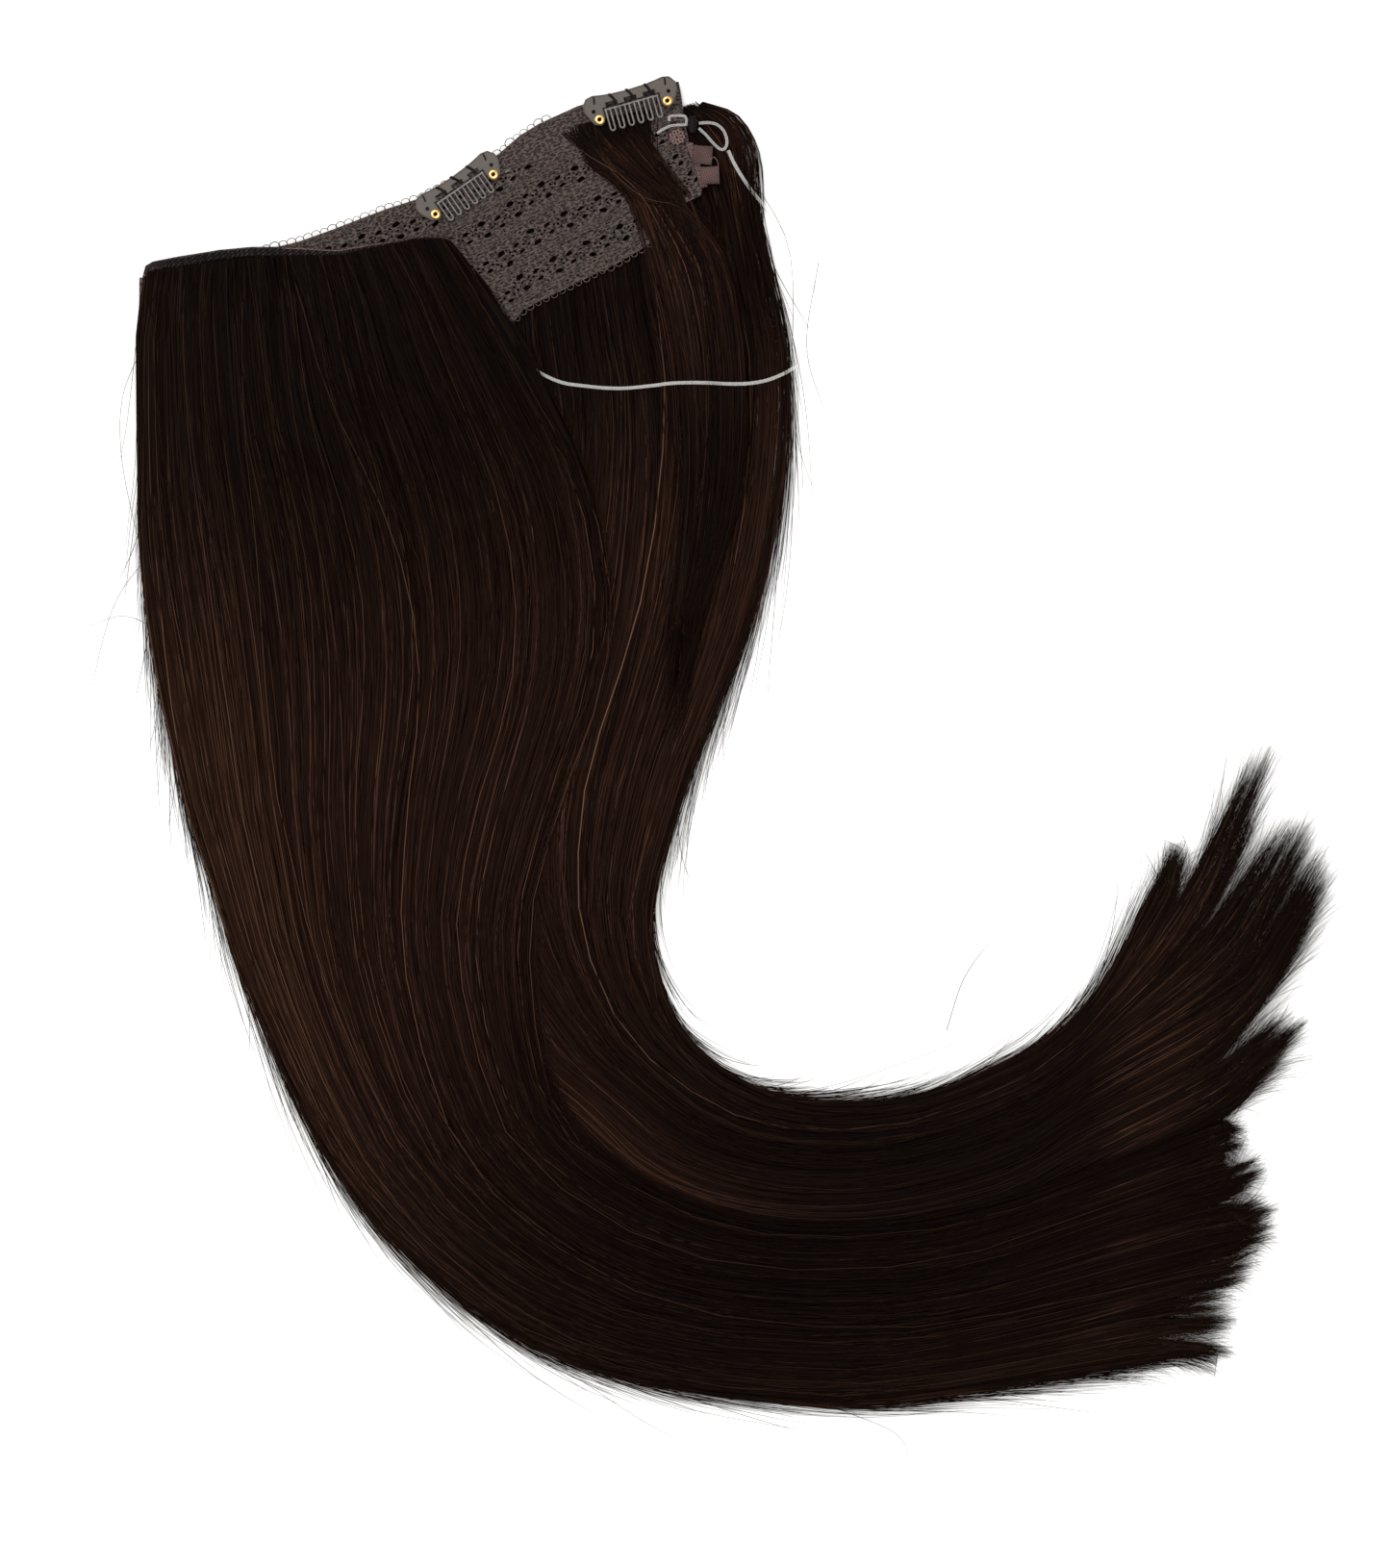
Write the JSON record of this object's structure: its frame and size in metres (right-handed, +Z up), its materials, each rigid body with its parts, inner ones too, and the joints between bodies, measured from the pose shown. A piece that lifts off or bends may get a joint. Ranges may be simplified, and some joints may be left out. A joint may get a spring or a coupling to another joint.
{
  "type": "halo hair extension",
  "caption": "Dark straight halo hair extension lying in a J, its lace band partly folded over, with snap clips and a clear head wire.",
  "frame": {"origin": "on the surface that it lies on, under the middle of its box without the wire", "axes": "+Z up from the surface, +Y from the tail's bend towards the lace band, +X from the folded side towards the tail's tips"},
  "size_m": [0.4094, 0.4542, 0.0132],
  "materials": {
    "hair_back": "smooth near-black brown hair in locks",
    "hair_wing": "smooth near-black brown hair in locks",
    "hair_end_lock": "smooth near-black brown hair in locks",
    "lace_base": "matt taupe lace, backed by dark netting",
    "wing_weft": "stitched hair track",
    "clip_plate_centre": "satin taupe paint",
    "clip_comb_centre": "satin taupe grey coating over spring steel",
    "eyelet_centre_left": "bright",
    "eyelet_centre_right": "bright",
    "clip_plate_right": "satin taupe paint",
    "clip_comb_right": "satin taupe grey coating over spring steel",
    "eyelet_right_left": "bright",
    "eyelet_right_right": "bright",
    "end_hem": "matt mauve brown stitching",
    "ribbon_loop_upper": "matt mauve brown ribbon",
    "ribbon_loop_lower": "matt mauve brown ribbon",
    "end_rosette": "matt mauve brown thread",
    "clear_loop": "clear, glossy",
    "wire_end_loop": "clear, glossy",
    "wire_knot": "matt dark thread",
    "halo_wire": "clear, glossy"
  },
  "bodies": {
    "root": {"hair_back": "hair_back", "hair_wing": "hair_wing", "hair_end_lock": "hair_end_lock", "lace_base": "lace_base", "wing_weft": "wing_weft", "clip_plate_centre": "clip_plate_centre", "eyelet_centre_left": "eyelet_centre_left", "eyelet_centre_right": "eyelet_centre_right", "clip_plate_right": "clip_plate_right", "eyelet_right_left": "eyelet_right_left", "eyelet_right_right": "eyelet_right_right", "end_hem": "end_hem", "ribbon_loop_upper": "ribbon_loop_upper", "ribbon_loop_lower": "ribbon_loop_lower", "end_rosette": "end_rosette", "clear_loop": "clear_loop", "wire_end_loop": "wire_end_loop", "wire_knot": "wire_knot", "halo_wire": "halo_wire"},
    "comb_centre": {"clip_comb_centre": "clip_comb_centre"},
    "comb_right": {"clip_comb_right": "clip_comb_right"}
  },
  "joints": [
    {"name": "comb_centre_snap", "type": "hinge", "parent": "root", "child": "comb_centre", "pos_m": [-0.09426, 0.18896, 0.00351], "axis": [-0.8231, -0.5678, 0.0134], "range_deg": [0, 40]},
    {"name": "comb_right_snap", "type": "hinge", "parent": "root", "child": "comb_right", "pos_m": [-0.03547, 0.21803, 0.00474], "axis": [-0.9636, -0.2672, -0.0048], "range_deg": [0, 40]}
  ]
}
